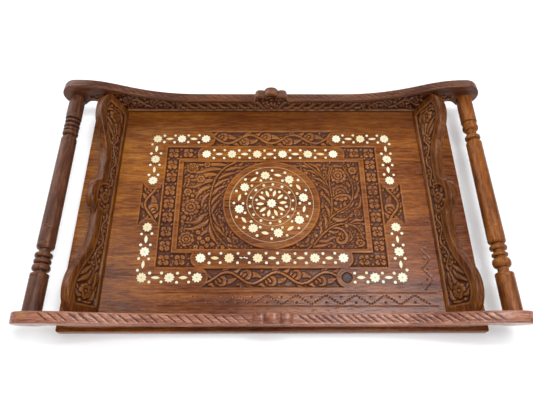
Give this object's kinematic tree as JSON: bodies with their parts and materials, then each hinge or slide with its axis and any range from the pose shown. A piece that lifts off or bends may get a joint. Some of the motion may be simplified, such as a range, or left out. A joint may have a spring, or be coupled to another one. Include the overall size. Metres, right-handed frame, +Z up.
{
  "type": "serving tray",
  "caption": "Rectangular carved wooden serving tray with wavy rails, splayed side walls, turned handle spindles and a floor inlaid with bone and wire.",
  "frame": {"origin": "middle of the underside of the base board", "axes": "+X along the tray's length towards the right handle, +Y from the front rail to the back rail, +Z up"},
  "size_m": [0.4366, 0.2522, 0.0458],
  "materials": {
    "rosewood": "hand-rubbed satin polish over carved relief",
    "turned_rosewood": "lathe-turned, satin polish",
    "bone": "ivory-coloured bone, sanded flush and polished with the wood",
    "wire": "pale brass wire, sanded flush, dull",
    "steel": "plain steel"
  },
  "bodies": {
    "root": {"back_left_corner_pin": "steel", "back_rail": "rosewood", "back_rail_screw_1": "steel", "back_rail_screw_2": "steel", "back_rail_screw_3": "steel", "back_right_corner_pin": "steel", "base_board": "rosewood", "flower_arm_x_back_left_1": "bone", "flower_arm_x_back_left_2": "bone", "flower_arm_x_back_right_1": "bone", "flower_arm_x_back_right_2": "bone", "flower_arm_x_front_left_1": "bone", "flower_arm_x_front_left_2": "bone", "flower_arm_x_front_right_1": "bone", "flower_arm_y_back_left_1": "bone", "flower_arm_y_back_left_2": "bone", "flower_arm_y_back_right_1": "bone", "flower_arm_y_back_right_2": "bone", "flower_arm_y_front_left_1": "bone", "flower_arm_y_front_left_2": "bone", "flower_arm_y_front_right_1": "bone", "flower_arm_y_front_right_2": "bone", "flower_centre": "bone", "flower_corner_back_left": "bone", "flower_corner_back_right": "bone", "flower_corner_front_left": "bone", "flower_corner_front_right": "bone", "flower_medallion_1": "bone", "flower_medallion_2": "bone", "flower_medallion_3": "bone", "flower_medallion_4": "bone", "flower_medallion_5": "bone", "flower_medallion_6": "bone", "flower_medallion_7": "bone", "flower_medallion_8": "bone", "flower_strip_back_1": "bone", "flower_strip_back_2": "bone", "flower_strip_back_3": "bone", "flower_strip_back_4": "bone", "flower_strip_back_5": "bone", "flower_strip_back_6": "bone", "flower_strip_front_1": "bone", "flower_strip_front_2": "bone", "flower_strip_front_3": "bone", "flower_strip_front_4": "bone", "flower_strip_front_5": "bone", "flower_strip_front_6": "bone", "front_left_corner_pin": "steel", "front_rail": "rosewood", "front_rail_screw_1": "steel", "front_rail_screw_2": "steel", "front_rail_screw_3": "steel", "front_right_corner_pin": "steel", "left_handle_spindle": "turned_rosewood", "left_side_wall": "rosewood", "right_handle_spindle": "turned_rosewood", "right_side_wall": "rosewood", "wire_ring_inner": "wire", "wire_ring_middle": "wire", "wire_ring_outer": "wire"}
  },
  "joints": []
}
